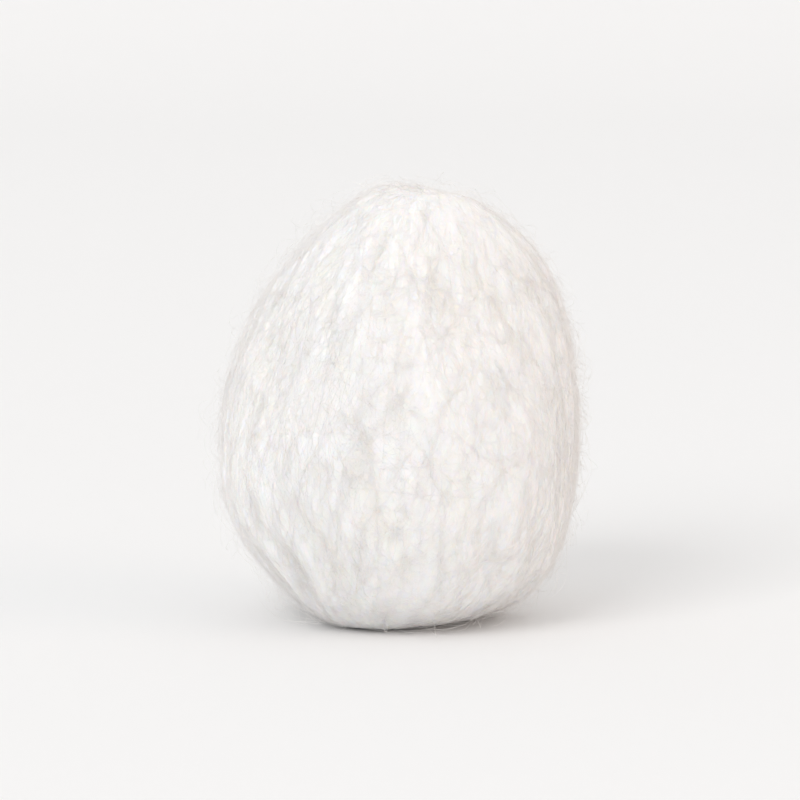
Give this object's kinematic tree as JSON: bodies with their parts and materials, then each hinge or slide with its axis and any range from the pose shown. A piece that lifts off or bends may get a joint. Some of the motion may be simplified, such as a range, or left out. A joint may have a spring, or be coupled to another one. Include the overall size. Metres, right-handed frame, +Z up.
{
  "type": "cotton ball",
  "caption": "Soft absorbent cotton ball: carded cotton rolled into an egg-like barrel, narrower at the top, that stands on a small flat.",
  "frame": {"origin": "middle of the small flat at the lower end, which the ball stands on", "axes": "+Z up, within 5 degrees of the roll's axis, which leans to +X; -Y is the front"},
  "size_m": [0.022, 0.0227, 0.0268],
  "materials": {
    "cotton": "bleached absorbent cotton fibre, matt and slightly fuzzy"
  },
  "bodies": {
    "root": {"cotton_ball": "cotton"}
  },
  "joints": []
}
